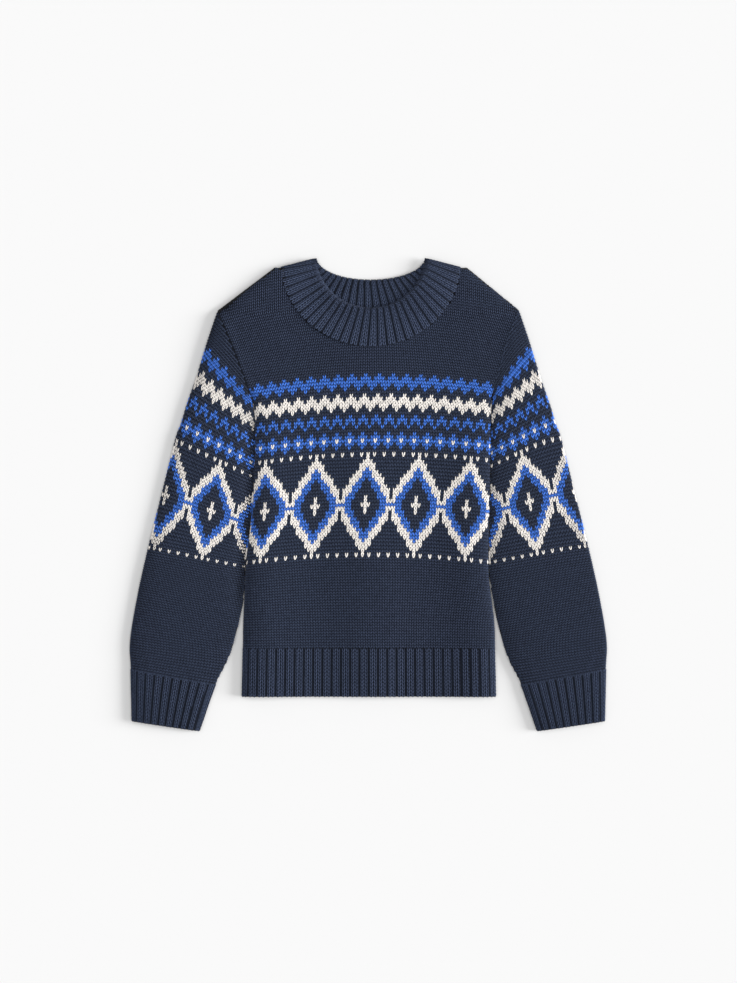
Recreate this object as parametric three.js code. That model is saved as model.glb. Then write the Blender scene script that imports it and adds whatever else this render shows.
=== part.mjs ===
// A child's fair isle jumper in chunky knit, laid flat on its back with the sleeves turned down.
// Millimetres. +X is towards the wearer's left sleeve, +Y is towards the neck, +Z is up, out of the front.
// The origin is in the middle of the jumper, on the surface that it lies on.
// The front lies on the back. Each panel is a wall of knitted cloth that is rounded where it folds at the sides,
// the sleeves are flattened tubes, and the ribs of the hem, cuffs and neckband are raised on the outside.

import * as THREE from "three";

// Cloth
const WALL = 3; // one layer of the chunky knit
const BAND_WALL = 4.8; // the neckband is rib folded double
const SEAM_GAP = 0.3; // between pieces that are sewn together
const BODY_TO_SLEEVE = 0.5; // between the side of the body and a sleeve that lies along it

// Heights of the body above the surface that it lies on
const FOLD_HEIGHT = 3.8; // of the widest point where the cloth folds at a side, in the body and the sleeves
const SIDE_ROUNDING = 10; // how far in the cloth is rounded at the fold
const SHOULDER_ROUNDING = 12;
const FRONT_HEIGHT = 8.3;
const WAVE_HEIGHT = 1.4; // soft lengthwise folds in the front
const WAVE_LENGTH = 104;
const WAVE_CENTRE = 3;
const SIDE_RIDGE_HEIGHT = 1.8; // the front stands up a little before it turns down at the side
const SIDE_RIDGE_FROM_EDGE = 19;
const SIDE_RIDGE_WIDTH = 16;
const CHEST_RISE = 1.9; // where the neckband lifts the chest
const CHEST_CENTRE_Y = 150;
const CHEST_WIDTH = 95;
const CHEST_LENGTH = 60;

// The body's levels, up from the middle of the jumper
const HEM_Y = -201.4;
const RIB_TOP_Y = -153.3;
const ARMPIT_Y = 100.8;
const SHOULDER_TIP_Y = 183.8;

// Half the body's width, and how far its middle is to one side, at each level
const BODY = [
  { y: -201.4, half: 127.3, middle: 0.7 },
  { y: -153.3, half: 126.2, middle: 0.7 },
  { y: -127, half: 125.6, middle: 0.5 },
  { y: -105, half: 123.8, middle: -0.4 },
  { y: -84, half: 122.2, middle: -1.2 },
  { y: -61, half: 121.0, middle: -0.5 },
  { y: -33, half: 119.6, middle: 1.3 },
  { y: -5, half: 118.6, middle: 3.2 },
  { y: 23, half: 118.2, middle: 4.1 },
  { y: 51, half: 118.0, middle: 4.8 },
  { y: 80, half: 118.6, middle: 4.5 },
  { y: 100.8, half: 121.7, middle: 3.5 },
  { y: 121.8, half: 128.0, middle: 2.8 },
  { y: 144.8, half: 135.4, middle: 1.6 },
  { y: 165.8, half: 143.4, middle: 0.6 },
  { y: 183.8, half: 150.4, middle: 0 },
  { y: 240, half: 150.4, middle: 0 },
];

// The neck: the seam where the band is sewn on, and the fold at its top edge. Each is a U in front and a
// shallower U behind, between the two points where the band folds at the sides.
const NECK_SEAM = { half: 90, top: 227.6, front: 80, back: 48, height: 11.6 };
const NECK_FOLD = { half: 56.6, top: 236.1, front: 49, back: 20.6, height: 12.4 };
const NECK_MIDDLE = 2.4; // how far the neck is to the wearer's left
const NECK_RIBS = 50;
const NECK_SIDE_TURN = 0.07; // how tightly the band turns from front to back at the side
const NECK_FLATNESS = 4;

// The sleeve's sections, from the armhole to the end of the cuff: where the cloth folds on the outer side and
// on the side next to the body. free is 0 where the sleeve lies along the body and 1 where it is clear of it.
const SLEEVE = [
  { outerX: 150.9, outerY: 183.8, innerX: 125, innerY: 100.8, free: 0, height: 10.4 },
  { outerX: 160.1, outerY: 156.8, innerX: 124, innerY: 96.8, free: 0, height: 10.4 },
  { outerX: 167.2, outerY: 133.8, innerX: 122, innerY: 91.6, free: 0, height: 10.2 },
  { outerX: 173.8, outerY: 112.8, innerX: 120, innerY: 73.8, free: 0, height: 10 },
  { outerX: 181.3, outerY: 91.8, innerX: 119, innerY: 51.8, free: 0, height: 9.9 },
  { outerX: 187.7, outerY: 70.8, innerX: 119, innerY: 32.8, free: 0, height: 9.9 },
  { outerX: 193.0, outerY: 56.3, innerX: 119, innerY: 19.8, free: 0, height: 9.9 },
  { outerX: 206.5, outerY: 2.3, innerX: 120, innerY: -31.2, free: 0, height: 9.9 },
  { outerX: 219.6, outerY: -49.7, innerX: 122, innerY: -73.2, free: 0, height: 9.9 },
  { outerX: 230.7, outerY: -99.2, innerX: 126.6, innerY: -118, free: 1, height: 9.9 },
  { outerX: 238.3, outerY: -145.2, innerX: 138, innerY: -160.2, free: 1, height: 9.9 },
  { outerX: 237.6, outerY: -174.2, innerX: 152.2, innerY: -189.8, free: 1, height: 9.6 },
  { outerX: 236.3, outerY: -226.2, innerX: 168.6, innerY: -236.2, free: 1, height: 9.6 },
];
const CUFF_TOP = SLEEVE.length - 2; // the section where the cuff's rib begins
const SLEEVE_ROUNDNESS = 2.6;
const FLATNESS_BELOW = 5;
const REST_SPREAD = 1.15; // widens the underside's flat part, where a tube rests

// Ribs of two raised columns of stitches and one sunken one
const HEM_RIBS = 28;
const CUFF_RIBS = 20;
const RIB_STEPS = [
  { at: 0.06, inset: -0.4 },
  { at: 0.7, inset: -0.4 },
  { at: 0.88, inset: 0.9 },
];

const NAVY = 0x2c3342;
const KNIT = { color: NAVY, roughness: 0.95, metalness: 0 };

const mix = (a, b, t) => a + (b - a) * t;
const clamp01 = (t) => Math.min(1, Math.max(0, t));
const smooth = (t) => clamp01(t) ** 2 * (3 - 2 * clamp01(t));
const bump = (t) => Math.exp(-t * t);
const quarterRound = (t) => Math.sqrt(1 - (1 - clamp01(t)) ** 2);

// A column of a table at a given place, on a smooth curve through the rows. places are the rows' own places.
function readTable(rows, places, place, column) {
  let i = 0;
  while (i < rows.length - 2 && place > places[i + 1]) i++;
  const slope = (k) => {
    const before = Math.max(0, k - 1);
    const after = Math.min(rows.length - 1, k + 1);
    return (rows[after][column] - rows[before][column]) / (places[after] - places[before]);
  };
  const span = places[i + 1] - places[i];
  const t = (place - places[i]) / span;
  const rise = rows[i + 1][column] - rows[i][column];
  const early = slope(i) * span;
  const late = slope(i + 1) * span;
  return (
    rows[i][column] + t * (early + t * (3 * rise - 2 * early - late + t * (early + late - 2 * rise)))
  );
}

const BODY_LEVELS = BODY.map((row) => row.y);
const SLEEVE_PLACES = SLEEVE.map((row, i) => i);
const bodyHalf = (y) => readTable(BODY, BODY_LEVELS, y, "half");
const bodyMiddle = (y) => readTable(BODY, BODY_LEVELS, y, "middle");

// The height of the side fold's rounded profile, from 0 at the fold to 1 in the middle, for a section with
// round ends. along is -1 to 1.
const archHeight = (along, roundness) => (1 - Math.abs(along) ** roundness) ** (1 / roundness);

// The front's outside above the surface, away from its edges
function frontHeight(x, y) {
  const fade = mix(1, 0.3, smooth((y + 60) / 130));
  const wave = WAVE_HEIGHT * fade * Math.cos((2 * Math.PI * (x - WAVE_CENTRE)) / WAVE_LENGTH);
  const fromEdge = bodyHalf(y) - Math.abs(x - bodyMiddle(y));
  const belowArmpit = smooth((ARMPIT_Y - y) / 50);
  const ridge = SIDE_RIDGE_HEIGHT * belowArmpit * bump((fromEdge - SIDE_RIDGE_FROM_EDGE) / SIDE_RIDGE_WIDTH);
  const chest = CHEST_RISE * bump(x / CHEST_WIDTH) * bump((y - CHEST_CENTRE_Y) / CHEST_LENGTH);
  return FRONT_HEIGHT + wave + ridge + chest;
}

// How far a point is inside the shoulder seam, which runs level for a little way out of the neck and then
// straight down to the shoulder tip
const SHOULDER_FROM = new THREE.Vector2(NECK_SEAM.half + 6.5, NECK_SEAM.top);
const SHOULDER_TO = new THREE.Vector2(BODY.at(-1).half, SHOULDER_TIP_Y);
const SHOULDER_LINE = SHOULDER_TO.clone().sub(SHOULDER_FROM);
const SHOULDER_INWARD = new THREE.Vector2(SHOULDER_LINE.y, -SHOULDER_LINE.x).normalize();
const insideShoulder = (x, y) =>
  Math.min(
    NECK_SEAM.top - y,
    new THREE.Vector2(Math.abs(x - NECK_MIDDLE), y).sub(SHOULDER_FROM).dot(SHOULDER_INWARD),
  );

// A point of the front (side 1) or back (side -1) at x and y, a given depth inside the cloth's outer surface
function panelPoint(side, x, y, depth) {
  const seam = FOLD_HEIGHT + (side * SEAM_GAP) / 2;
  const flat = side > 0 ? frontHeight(x, y) - depth : depth;
  const alongArmhole = (2 * (y - ARMPIT_Y)) / (SHOULDER_TIP_Y - ARMPIT_Y) - 1;
  const roundness = side > 0 ? SLEEVE_ROUNDNESS : FLATNESS_BELOW;
  const reach = side > 0 ? SLEEVE[0].height - FOLD_HEIGHT : FOLD_HEIGHT;
  const lift = Math.abs(alongArmhole) < 1 ? reach * archHeight(alongArmhole, roundness) : 0;
  const edge = seam + side * Math.max(0, lift - depth);
  const atArmhole = smooth((y - ARMPIT_Y) / 15);
  const half = bodyHalf(y) - depth * (1 - atArmhole);
  const rounding = mix(SIDE_ROUNDING - depth, 30, atArmhole);
  let z = mix(edge, flat, quarterRound((half - Math.abs(x - bodyMiddle(y))) / rounding));
  z = mix(seam, z, quarterRound((insideShoulder(x, y) - depth) / (SHOULDER_ROUNDING - depth)));
  return new THREE.Vector3(x, y, z);
}

// The height of a flattened tube's wall, a given depth inside its surface. It is widest at the height of its
// fold, lift is -1 below to 1 on top, and the middle of the underside is flat.
const restingHeight = (fold, top, depth, lift) =>
  lift < 0
    ? Math.max(depth, fold + (fold - depth) * lift * REST_SPREAD)
    : fold + (top - fold - depth) * lift;

// The band round the neck: share is 0 at its seam and 1 at its fold, turn goes once round from the wearer's left
const neckDip = (s) =>
  (Math.hypot(s, NECK_SIDE_TURN) - NECK_SIDE_TURN) / (Math.hypot(1, NECK_SIDE_TURN) - NECK_SIDE_TURN);
function neckPoint(turn, share, depth) {
  const size = (name) => mix(NECK_SEAM[name], NECK_FOLD[name], share);
  const s = Math.sin(turn);
  const dip = s > 0 ? size("front") : size("back");
  const lift = Math.sign(s) * Math.abs(s) ** (2 / NECK_FLATNESS);
  return new THREE.Vector3(
    NECK_MIDDLE + (size("half") - depth) * Math.cos(turn),
    size("top") - dip * neckDip(s),
    restingHeight(size("height") / 2, size("height"), depth, lift),
  );
}

// The top edge of a panel in one of its columns: the neckline in the middle columns, the shoulder in the outer ones
const NECK_COLUMNS = 9;
const SIDE_COLUMNS = 15;
const NECK_EDGE_GAP = 0.7;
function panelTop(side, column, depth) {
  const outer = Math.abs(column);
  if (outer <= NECK_COLUMNS) {
    const turn = (Math.PI / 2) * (1 - column / NECK_COLUMNS);
    const dip = (side > 0 ? NECK_SEAM.front : NECK_SEAM.back) + NECK_EDGE_GAP;
    const seamIn = outer === NECK_COLUMNS ? depth : 0;
    return {
      x: NECK_MIDDLE + (NECK_SEAM.half + NECK_EDGE_GAP) * Math.cos(turn),
      y: NECK_SEAM.top - seamIn * 1.3 - dip * neckDip(Math.sin(turn)),
    };
  }
  const along = (outer - NECK_COLUMNS - 1) / (SIDE_COLUMNS - NECK_COLUMNS - 1);
  const point = SHOULDER_LINE.clone().multiplyScalar(along).add(SHOULDER_FROM);
  point.addScaledVector(SHOULDER_INWARD, depth * (1 - along));
  return { x: Math.sign(column) * point.x + NECK_MIDDLE * (1 - along), y: point.y };
}

// How far the armhole is from a straight line between the armpit and the shoulder tip, on one side of the body
function armholeBend(hand, y) {
  const edge = (at) => hand * bodyHalf(at) + bodyMiddle(at);
  const along = (y - ARMPIT_Y) / (SHOULDER_TIP_Y - ARMPIT_Y);
  return along < 1 ? edge(y) - mix(edge(ARMPIT_Y), edge(SHOULDER_TIP_Y), along) : 0;
}

// A panel's points: columns across, rows up from the rib to the armpits and on to the shoulders and the neck
const LOW_ROWS = 11;
const HIGH_ROWS = 7;
function panelGrid(side, depth) {
  const grid = [];
  const bottom = RIB_TOP_Y + SEAM_GAP / 2;
  for (let row = 0; row <= LOW_ROWS + HIGH_ROWS; row++) {
    const line = [];
    for (let column = -SIDE_COLUMNS; column <= SIDE_COLUMNS; column++) {
      const across = Math.sin(((Math.PI / 2) * column) / SIDE_COLUMNS);
      let y = mix(bottom, ARMPIT_Y, row / LOW_ROWS);
      let x = bodyMiddle(y) + (bodyHalf(y) - depth) * across;
      if (row > LOW_ROWS) {
        const up = (row - LOW_ROWS) / HIGH_ROWS;
        const top = panelTop(side, column, depth);
        const atArmpit = bodyMiddle(ARMPIT_Y) + (bodyHalf(ARMPIT_Y) - depth * (1 - up)) * across;
        y = mix(ARMPIT_Y, top.y, up);
        x = mix(atArmpit, top.x, up) + armholeBend(Math.sign(column), y) * Math.abs(across) ** 3;
      }
      line.push(panelPoint(side, x, y, depth));
    }
    grid.push(line);
  }
  return grid;
}

// Evenly spaced places along a curve, as the values of its parameter from 0 to 1 at the wanted shares of its length
function evenPlaces(curve, shares) {
  const steps = 240;
  const lengths = [0];
  for (let i = 1; i <= steps; i++)
    lengths.push(lengths[i - 1] + curve(i / steps).distanceTo(curve((i - 1) / steps)));
  return shares.map((share) => {
    const wanted = clamp01(share) * lengths[steps];
    const i = Math.max(1, lengths.findIndex((length) => length >= wanted));
    return (i - 1 + (wanted - lengths[i - 1]) / (lengths[i] - lengths[i - 1])) / steps;
  });
}

// The shares of the length round a ribbed piece where its surface turns, with the depth of each
const ribSteps = (ribs) =>
  Array.from({ length: ribs }, (unused, rib) =>
    RIB_STEPS.map((step) => ({ share: (rib + step.at) / ribs, depth: step.inset })),
  ).flat();

// The rib of the hem, in front or behind. The underside rests on the surface, so it is plain.
const HEM_ROWS = 2;
const PLAIN_HEM_COLUMNS = 24;
function hemGrid(side, inside) {
  const grid = [];
  const plain = Array.from({ length: PLAIN_HEM_COLUMNS + 1 }, (unused, i) => ({
    share: i / PLAIN_HEM_COLUMNS,
    depth: 0,
  }));
  const ribbed = [{ share: 0, depth: 0 }, ...ribSteps(HEM_RIBS), { share: 1, depth: 0 }];
  const steps = side > 0 ? ribbed : plain;
  for (let row = 0; row <= HEM_ROWS; row++) {
    const y = mix(HEM_Y, RIB_TOP_Y - SEAM_GAP / 2, row / HEM_ROWS);
    const section = (depth) => (t) => {
      const across = -Math.cos(Math.PI * t);
      return panelPoint(side, bodyMiddle(y) + (bodyHalf(y) - depth) * across, y, depth);
    };
    const places = evenPlaces(section(0), steps.map((step) => step.share));
    grid.push(places.map((place, i) => section(inside ? WALL : steps[i].depth)(place)));
  }
  return grid;
}

// A sleeve's section at a place in its table: the two folds, and the thickness of the flattened tube
function sleeveSection(hand, place) {
  const read = (column) => readTable(SLEEVE, SLEEVE_PLACES, place, column);
  const innerY = read("innerY");
  const bodyEdge = bodyHalf(innerY) + hand * bodyMiddle(innerY) + BODY_TO_SLEEVE;
  const innerX = mix(bodyEdge, read("innerX"), clamp01(read("free")));
  return {
    outer: new THREE.Vector2(read("outerX"), read("outerY")),
    inner: new THREE.Vector2(Math.max(innerX, bodyEdge), innerY),
    height: read("height"),
    bow: 1 - smooth(place / 2),
  };
}

// A point of a sleeve or cuff: turn goes once round the tube, from the outer fold over the top
function sleevePoint(hand, place, turn, depth) {
  const { outer, inner, height, bow } = sleeveSection(hand, place);
  const c = Math.cos(turn);
  const s = Math.sin(turn);
  const roundness = s > 0 ? SLEEVE_ROUNDNESS : FLATNESS_BELOW;
  const shape = (v) => Math.sign(v) * Math.abs(v) ** (2 / roundness);
  const length = outer.distanceTo(inner);
  const along = 0.5 + shape(c) * (0.5 - depth / length);
  const plan = inner.clone().lerp(outer, along);
  return new THREE.Vector3(
    hand * plan.x + bow * armholeBend(hand, mix(ARMPIT_Y, SHOULDER_TIP_Y, along)),
    plan.y,
    restingHeight(FOLD_HEIGHT, height, depth, shape(s)),
  );
}

// Rings of a sleeve or cuff, from one place in the table to another
const SLEEVE_COLUMNS = 26;
function sleeveRings(hand, places, steps, inside) {
  return places.map((place) => {
    const section = (depth) => (t) => sleevePoint(hand, place, 2 * Math.PI * t, depth);
    const turns = steps ? evenPlaces(section(0), steps.map((step) => step.share)) : null;
    return Array.from({ length: steps ? steps.length : SLEEVE_COLUMNS }, (unused, i) => {
      const depth = inside ? WALL : steps ? ribDepth(steps[i], turns[i]) : 0;
      return section(depth)(steps ? turns[i] : i / SLEEVE_COLUMNS);
    });
  });
}
// The ribs are raised on top and at the folds, and the underside is plain where it rests
const ribDepth = (step, turn) => (turn > 0.55 && turn < 0.95 ? 0 : step.depth);

// The band's rings, out over the ribbed outside, round the fold and back along the plain inside to the seam
const BAND_RINGS = [
  { share: 0, depth: 0, ribbed: 1 },
  { share: 0.35, depth: 0, ribbed: 1 },
  { share: 0.7, depth: 0, ribbed: 1 },
  { share: 0.95, depth: 0.5, ribbed: 1 },
  { share: 1, depth: BAND_WALL / 2, ribbed: 0.3 },
  { share: 0.95, depth: BAND_WALL - 0.5, ribbed: 0 },
  { share: 0.5, depth: BAND_WALL, ribbed: 0 },
  { share: 0, depth: BAND_WALL, ribbed: 0 },
];
function neckRings() {
  const section = (share, depth) => (t) => neckPoint(2 * Math.PI * t, share, depth);
  const steps = ribSteps(NECK_RIBS);
  return BAND_RINGS.map(({ share, depth, ribbed }) => {
    const turns = evenPlaces(section(share, 0), steps.map((step) => step.share));
    return steps.map((step, i) => {
      const under = turns[i] > 0.55 && turns[i] < 0.95;
      return section(share, depth + (under ? 0 : step.depth * ribbed))(turns[i]);
    });
  });
}

// A closed surface from rows of points that are joined round, and optionally across to the first row again
function gridFaces(rows, closeRows, closeColumns, start) {
  const faces = [];
  const width = rows[0].length;
  const lastRow = closeRows ? rows.length : rows.length - 1;
  const lastColumn = closeColumns ? width : width - 1;
  for (let row = 0; row < lastRow; row++)
    for (let column = 0; column < lastColumn; column++) {
      const at = (r, c) => start + (r % rows.length) * width + (c % width);
      faces.push([at(row, column), at(row, column + 1), at(row + 1, column + 1)]);
      faces.push([at(row, column), at(row + 1, column + 1), at(row + 1, column)]);
    }
  return faces;
}

function solidGeometry(points, faces) {
  let volume = 0;
  for (const [a, b, c] of faces) volume += points[a].dot(points[b].clone().cross(points[c]));
  const facing = volume < 0 ? faces.map(([a, b, c]) => [a, c, b]) : faces;
  const geometry = new THREE.BufferGeometry();
  geometry.setAttribute("position", new THREE.Float32BufferAttribute(points.flatMap((p) => p.toArray()), 3));
  geometry.setIndex(facing.flat());
  geometry.computeVertexNormals();
  return geometry;
}

// A panel of cloth: its outside and inside, joined along its four edges
function panelSolid(outside, inside) {
  const points = [...outside.flat(), ...inside.flat()];
  const width = outside[0].length;
  const height = outside.length;
  const half = width * height;
  const reversed = ([a, b, c]) => [a, c, b];
  const faces = [
    ...gridFaces(outside, false, false, 0),
    ...gridFaces(inside, false, false, half).map(reversed),
  ];
  const bottom = Array.from({ length: width }, (unused, i) => i);
  const right = Array.from({ length: height }, (unused, i) => i * width + width - 1);
  const top = bottom.map((i) => half - 1 - i);
  const left = right.map((i) => half - 1 - i);
  for (const edge of [bottom, right, top, left])
    for (let i = 0; i + 1 < edge.length; i++) {
      faces.push([edge[i + 1], edge[i], edge[i] + half]);
      faces.push([edge[i + 1], edge[i] + half, edge[i + 1] + half]);
    }
  return solidGeometry(points, faces);
}

// Rings joined one after another and back to the first: a tube's outside, its end, its inside and its other end
function ringSolid(rings) {
  return solidGeometry(rings.flat(), gridFaces(rings, true, true, 0));
}

const jumper = new THREE.Group();
function addPiece(name, geometry) {
  const piece = new THREE.Mesh(geometry, new THREE.MeshStandardMaterial(KNIT));
  piece.name = name;
  jumper.add(piece);
}

for (const [side, name] of [
  [1, "front"],
  [-1, "back"],
]) {
  addPiece(name, panelSolid(panelGrid(side, 0), panelGrid(side, WALL)));
  addPiece("hem_rib_" + name, panelSolid(hemGrid(side, false), hemGrid(side, true)));
}

// Places of the rings: closer at the top of the sleeve, where its sections fan out from the armpit
const SEAM_SHARE = SEAM_GAP / 2 / 29; // half a seam's gap as a share of the section above the cuff
const SLEEVE_RINGS = [0, 0.5, 1, 1.5, 2, 3, 4, 5, 6, 6.5, 7, 7.5, 8, 8.5, 9, 9.5, 10, 10.5, CUFF_TOP - SEAM_SHARE];
const CUFF_RINGS = [CUFF_TOP + SEAM_SHARE, CUFF_TOP + 0.5, CUFF_TOP + 1];
for (const [hand, name] of [
  [1, "left"],
  [-1, "right"],
]) {
  const tube = (places, steps) =>
    ringSolid([
      ...sleeveRings(hand, places, steps, false),
      ...sleeveRings(hand, places, steps, true).reverse(),
    ]);
  addPiece("sleeve_" + name, tube(SLEEVE_RINGS, null));
  addPiece("cuff_" + name, tube(CUFF_RINGS, ribSteps(CUFF_RIBS)));
}

addPiece("neckband", ringSolid(neckRings()));

export default jumper;
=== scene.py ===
"""A child's fair isle jumper in chunky wool, laid flat on a pale surface and seen from straight above.

The frame is the part's own: metres, +X towards the wearer's left sleeve, +Y towards the neck, +Z up.
Sizes in this file are millimetres, and MM turns them to metres where a mesh or a light is made.
"""

import math

import bpy
import numpy as np
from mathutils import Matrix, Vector
from mathutils.bvhtree import BVHTree


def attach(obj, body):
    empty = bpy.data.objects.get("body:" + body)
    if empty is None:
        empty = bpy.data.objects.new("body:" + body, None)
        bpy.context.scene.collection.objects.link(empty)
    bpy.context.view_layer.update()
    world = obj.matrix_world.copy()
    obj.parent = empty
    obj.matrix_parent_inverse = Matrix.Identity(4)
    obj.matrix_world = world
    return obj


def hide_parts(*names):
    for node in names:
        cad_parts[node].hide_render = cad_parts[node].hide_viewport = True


MM = 0.001

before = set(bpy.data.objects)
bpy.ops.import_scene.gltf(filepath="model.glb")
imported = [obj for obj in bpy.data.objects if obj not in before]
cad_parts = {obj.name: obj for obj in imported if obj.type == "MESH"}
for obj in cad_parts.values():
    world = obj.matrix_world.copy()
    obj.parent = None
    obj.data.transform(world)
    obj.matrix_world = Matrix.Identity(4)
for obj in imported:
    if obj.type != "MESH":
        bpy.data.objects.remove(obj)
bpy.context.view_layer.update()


# The camera looks straight down, from far enough that the hem and cuffs show none of their ends.

CAMERA_HEIGHT = 2600
PICTURE_LENGTH = 983  # of the surface, along the picture's long side
SENSOR = 36
VIEW_CENTRE = (0.2, 3.25)

camera_data = bpy.data.cameras.new("camera")
camera_data.sensor_width = SENSOR
camera_data.lens = SENSOR * CAMERA_HEIGHT / PICTURE_LENGTH
camera = bpy.data.objects.new("camera", camera_data)
camera.location = (VIEW_CENTRE[0] * MM, VIEW_CENTRE[1] * MM, CAMERA_HEIGHT * MM)
bpy.context.scene.collection.objects.link(camera)
bpy.context.scene.camera = camera


# The front: one panel of stranded knitting in worsted wool, knitted from the hem's rib up to the shoulders.
# It lies on the back, rounded where the body folds at the sides, with soft lengthwise folds, and lifted by
# the neckband at the chest. Its form is the one that the solids have.

WALL = 3.0
SEAM_GAP = 0.3  # between pieces that are sewn together
CLOTH_DEPTH = 1.0  # of the cloth between the stitches, below their crests
CLOTH_PAINTED_LIGHT = 0.15  # how light that cloth is painted, from 0 for a hollow's painted shade to 1 for a crest's painted highlight
FOLD_HEIGHT = 3.8  # of the widest point, where the cloth folds at a side
SIDE_ROUNDING = 10.0  # how far in the cloth is rounded
SHOULDER_ROUNDING = 12.0
ARMHOLE_ROUNDING = 30.0
ARMHOLE_BLEND = 15.0  # how far above the armpit the side's rounding has become the armhole's
FRONT_HEIGHT = 8.3
WAVE_HEIGHT = 1.4  # of the lengthwise folds, which fade to a share of it towards the chest
WAVE_LENGTH = 104.0
WAVE_CENTRE = 3.0
WAVE_FADE_FROM_Y = -60.0
WAVE_FADE_LENGTH = 130.0
WAVE_AT_CHEST = 0.3
SIDE_RIDGE_HEIGHT = 1.8  # the front stands up a little before it turns down at the side
SIDE_RIDGE_FROM_EDGE = 19.0
SIDE_RIDGE_WIDTH = 16.0
SIDE_RIDGE_BLEND = 50.0  # how far below the armpit it is whole
CHEST_RISE = 1.9
CHEST_CENTRE_Y = 150.0
CHEST_WIDTH = 95.0
CHEST_LENGTH = 60.0
HEM_Y = -201.4
RIB_TOP_Y = -153.3
ARMPIT_Y = 100.8
SHOULDER_TIP_Y = 183.8
ARMHOLE_HEIGHT = 10.4
ROUNDNESS = 2.6
FLATNESS_BELOW = 5.0
NECK_MIDDLE = 2.4  # how far the neck is to the wearer's left
NECK_SIDE_TURN = 0.07  # how tightly the neckline turns from front to back at its sides
NECK_SEAM = {"half": 90.0, "top": 227.6, "front": 80.0, "back": 48.0, "height": 11.6}
NECK_TUCK = 1.2  # how far the panels reach under the neckband
NECK_CORNER_DROP = 1.3  # of a layer's corner beside the neck, for each millimetre of its depth
NECK_TO_SHOULDER = 6.5
BODY_OUTLINE = {
    "y": [-201.4, -153.3, -127, -105, -84, -61, -33, -5, 23, 51, 80, 100.8, 121.8, 144.8, 165.8, 183.8, 240],
    "half": [
        127.3, 126.2, 125.6, 123.8, 122.2, 121, 119.6, 118.6, 118.2,
        118, 118.6, 121.7, 128, 135.4, 143.4, 150.4, 150.4,
    ],
    "middle": [0.7, 0.7, 0.5, -0.4, -1.2, -0.5, 1.3, 3.2, 4.1, 4.8, 4.5, 3.5, 2.8, 1.6, 0.6, 0, 0],
}


def mix(a, b, t):
    return a + (b - a) * t


def smooth(t):
    t = np.clip(t, 0, 1)
    return t * t * (3 - 2 * t)


def bump(t):
    return np.exp(-(t**2))


def quarter_round(t):
    return np.sqrt(1 - (1 - np.clip(t, 0, 1)) ** 2)


def smooth_curve(places, values):
    """A function that runs smoothly through the values at their places."""
    places = np.array(places, float)
    values = np.array(values, float)
    last = len(places) - 1
    after = np.minimum(np.arange(last + 1) + 1, last)
    before = np.maximum(np.arange(last + 1) - 1, 0)
    slopes = (values[after] - values[before]) / (places[after] - places[before])

    def curve(place):
        i = np.clip(np.searchsorted(places, place) - 1, 0, last - 1)
        span = places[i + 1] - places[i]
        t = (place - places[i]) / span
        rise = values[i + 1] - values[i]
        early = slopes[i] * span
        late = slopes[i + 1] * span
        return values[i] + t * (early + t * (3 * rise - 2 * early - late + t * (early + late - 2 * rise)))

    return curve


def table_curves(table):
    """A smooth curve for each column of a table but the first, which holds their places."""
    (_, places), *columns = table.items()
    return {name: smooth_curve(places, values) for name, values in columns}


body_half, body_middle = table_curves(BODY_OUTLINE).values()


def path_length(points):
    """How far each point of a line is along it."""
    steps = np.linalg.norm(np.diff(points, axis=0), axis=-1)
    return np.concatenate([[0], np.cumsum(steps)])


def arch_height(along, roundness):
    """The height of an arch from -1 to 1: an ellipse at roundness 2, flatter above that."""
    return (1 - np.clip(np.abs(along), 0, 1) ** roundness) ** (1 / roundness)


def front_height(x, y):
    """The front's outside above the surface, away from its edges."""
    fade = mix(1, WAVE_AT_CHEST, smooth((y - WAVE_FADE_FROM_Y) / WAVE_FADE_LENGTH))
    wave = WAVE_HEIGHT * fade * np.cos(2 * math.pi * (x - WAVE_CENTRE) / WAVE_LENGTH)
    from_edge = body_half(y) - np.abs(x - body_middle(y))
    below_armpit = smooth((ARMPIT_Y - y) / SIDE_RIDGE_BLEND)
    ridge = SIDE_RIDGE_HEIGHT * below_armpit * bump((from_edge - SIDE_RIDGE_FROM_EDGE) / SIDE_RIDGE_WIDTH)
    chest = CHEST_RISE * bump(x / CHEST_WIDTH) * bump((y - CHEST_CENTRE_Y) / CHEST_LENGTH)
    return FRONT_HEIGHT + wave + ridge + chest


SHOULDER_FROM = np.array([NECK_SEAM["half"] + NECK_TO_SHOULDER, NECK_SEAM["top"]])
SHOULDER_LINE = np.array([BODY_OUTLINE["half"][-1], SHOULDER_TIP_Y]) - SHOULDER_FROM
SHOULDER_INWARD = np.array([SHOULDER_LINE[1], -SHOULDER_LINE[0]]) / np.hypot(*SHOULDER_LINE)


def inside_shoulder(x, y):
    """How far a point of the body is below the shoulder seam."""
    outwards = np.abs(x - NECK_MIDDLE) - SHOULDER_FROM[0]
    upwards = y - SHOULDER_FROM[1]
    below_slope = outwards * SHOULDER_INWARD[0] + upwards * SHOULDER_INWARD[1]
    return np.minimum(below_slope, NECK_SEAM["top"] - y)


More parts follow.
